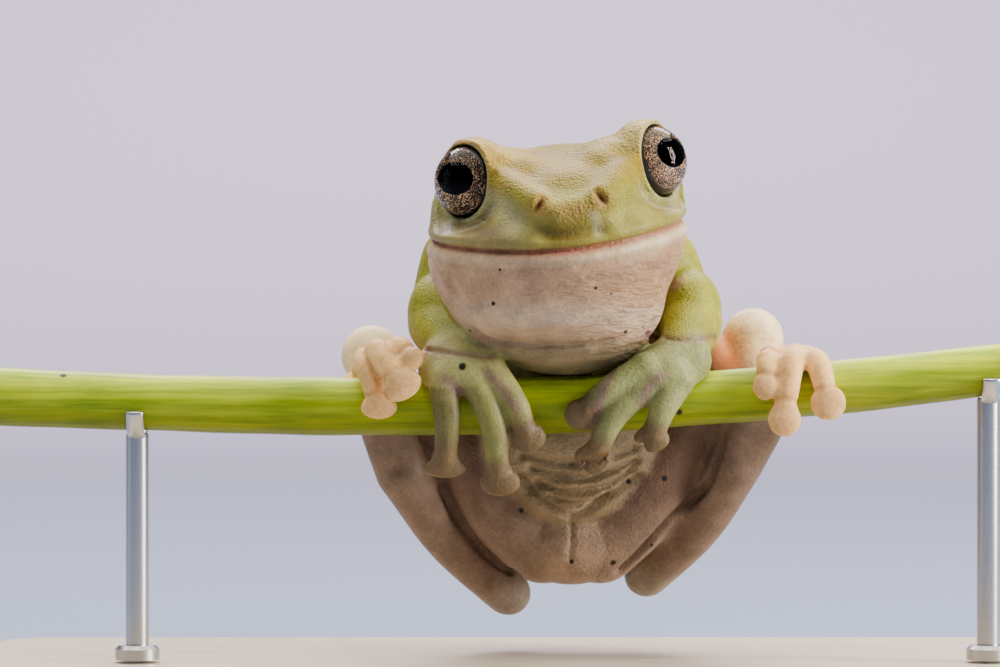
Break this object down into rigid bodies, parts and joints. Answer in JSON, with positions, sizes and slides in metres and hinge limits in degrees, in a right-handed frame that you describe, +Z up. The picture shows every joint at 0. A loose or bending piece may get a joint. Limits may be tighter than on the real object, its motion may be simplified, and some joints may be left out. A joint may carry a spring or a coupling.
{
  "type": "tree frog on a stem",
  "caption": "Life-size still model of a plump green tree frog hanging over a cut green stem, held by a flat base and thin rods.",
  "frame": {"origin": "centre of the base's footprint, on the floor under the frog", "axes": "the frog faces -Y, +X is along the base's length, to the right as seen from in front, and +Z is up. Names say left and right as seen from in front"},
  "size_m": [0.124, 0.07, 0.0611],
  "materials": {
    "green_skin": "moist satin, fine granules",
    "olive_skin": "moist satin",
    "pale_skin": "moist satin, finely wrinkled",
    "peach_skin": "moist, smooth",
    "eye": "wet gloss",
    "stem_rind": "waxy satin",
    "stand_base": "pale, oiled",
    "stand_rod": "brushed"
  },
  "bodies": {
    "root": {"head": "green_skin", "lower_jaw": "pale_skin", "eye_left": "eye", "eye_right": "eye", "trunk": "green_skin", "upper_arm_left": "green_skin", "upper_arm_right": "green_skin", "forearm_left": "green_skin", "forearm_right": "green_skin", "hand_left": "olive_skin", "hand_right": "olive_skin", "thigh_left": "pale_skin", "thigh_right": "pale_skin", "shank_left": "pale_skin", "shank_right": "pale_skin", "tarsus_left": "pale_skin", "tarsus_right": "pale_skin", "foot_left": "peach_skin", "foot_right": "peach_skin", "stem": "stem_rind", "stand_base": "stand_base", "stand_rod_left": "stand_rod", "stand_rod_right": "stand_rod"}
  },
  "joints": []
}
